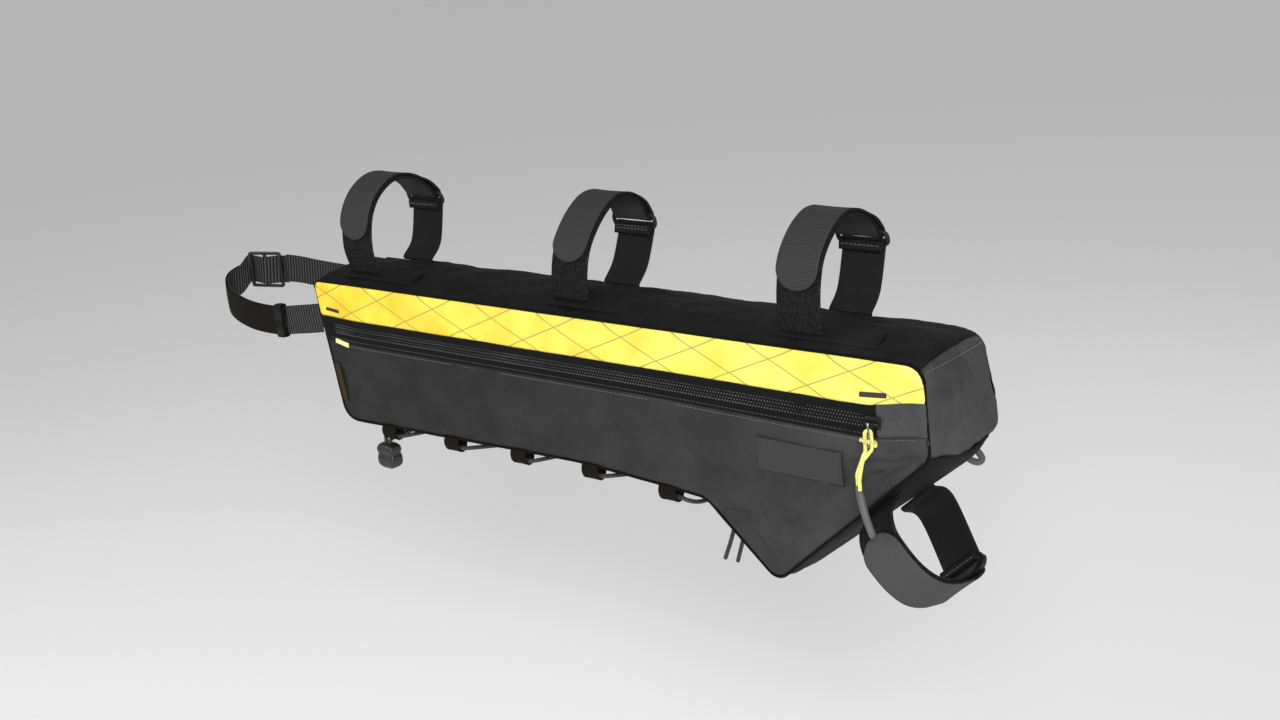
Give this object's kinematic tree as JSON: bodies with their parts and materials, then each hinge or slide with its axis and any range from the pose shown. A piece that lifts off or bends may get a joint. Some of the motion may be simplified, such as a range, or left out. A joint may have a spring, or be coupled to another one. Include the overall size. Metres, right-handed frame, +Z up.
{
  "type": "bicycle frame bag",
  "caption": "Long soft bag that fills the top of a bicycle frame, with zips on both sides, hook-and-loop straps and a lace under its belly.",
  "frame": {"origin": "on the axis of the frame tube that carries the bag, over the middle top strap, 38 mm above the bag's top edge", "axes": "+X towards the front of the bag, +Y to its left side, +Z up"},
  "size_m": [0.6646, 0.1315, 0.2561],
  "materials": {
    "black_nylon": "coated ripstop nylon, dull",
    "yellow_ripstop": "ripstop cloth with diagonal reinforcing threads",
    "black_zip_coil": "coated zip tape with a coil",
    "charcoal_hook_tape": "brushed loop face over a smooth back",
    "black_webbing": "ribbed woven webbing",
    "black_plastic": "moulded acetal, fine texture",
    "black_coated_metal": "die cast, black coat",
    "grey_steel": "stamped and tumbled",
    "yellow_cord": "braided cord",
    "grey_rubber": "moulded grip over the cord's ends",
    "black_elastic_cord": "braided elastic cord",
    "charcoal_patch": "stitched rubber patch, bare",
    "ochre_ribbon": "folded ribbon tag, bare"
  },
  "bodies": {
    "root": {"top_panel": "black_nylon", "front_panel": "black_nylon", "down_tube_panel": "black_nylon", "belly_panel": "black_nylon", "rear_panel": "black_nylon", "right_lower_panel": "black_nylon", "left_lower_panel": "black_nylon", "right_upper_panel": "yellow_ripstop", "left_upper_panel": "yellow_ripstop", "right_zipper": "black_zip_coil", "left_zipper": "black_zip_coil", "right_zip_slider": "black_coated_metal", "left_zip_slider": "black_coated_metal", "right_pull_tab": "grey_steel", "left_pull_tab": "grey_steel", "right_pull_cord": "yellow_cord", "left_pull_cord": "yellow_cord", "right_pull_knot": "yellow_cord", "left_pull_knot": "yellow_cord", "right_pull_grip": "grey_rubber", "left_pull_grip": "grey_rubber", "top_1_strap": "charcoal_hook_tape", "top_2_strap": "charcoal_hook_tape", "top_3_strap": "charcoal_hook_tape", "down_tube_strap": "charcoal_hook_tape", "top_1_anchor": "black_webbing", "top_2_anchor": "black_webbing", "top_3_anchor": "black_webbing", "down_tube_anchor": "black_webbing", "top_1_ring": "black_plastic", "top_2_ring": "black_plastic", "top_3_ring": "black_plastic", "down_tube_ring": "black_plastic", "strap_strip_1": "black_webbing", "strap_strip_2": "black_webbing", "strap_strip_3": "black_webbing", "rear_webbing": "black_webbing", "rear_webbing_end": "black_webbing", "webbing_keeper": "black_webbing", "rear_buckle": "black_plastic", "right_lace_loop_1": "black_webbing", "right_lace_loop_2": "black_webbing", "right_lace_loop_3": "black_webbing", "right_lace_loop_4": "black_webbing", "right_lace_loop_5": "black_webbing", "left_lace_loop_1": "black_webbing", "left_lace_loop_2": "black_webbing", "left_lace_loop_3": "black_webbing", "left_lace_loop_4": "black_webbing", "left_lace_loop_5": "black_webbing", "lace_right": "black_elastic_cord", "lace_left": "black_elastic_cord", "lace_tail_right": "black_elastic_cord", "lace_tail_left": "black_elastic_cord", "cord_lock": "black_plastic", "side_patch": "charcoal_patch", "side_tag": "ochre_ribbon"}
  },
  "joints": []
}
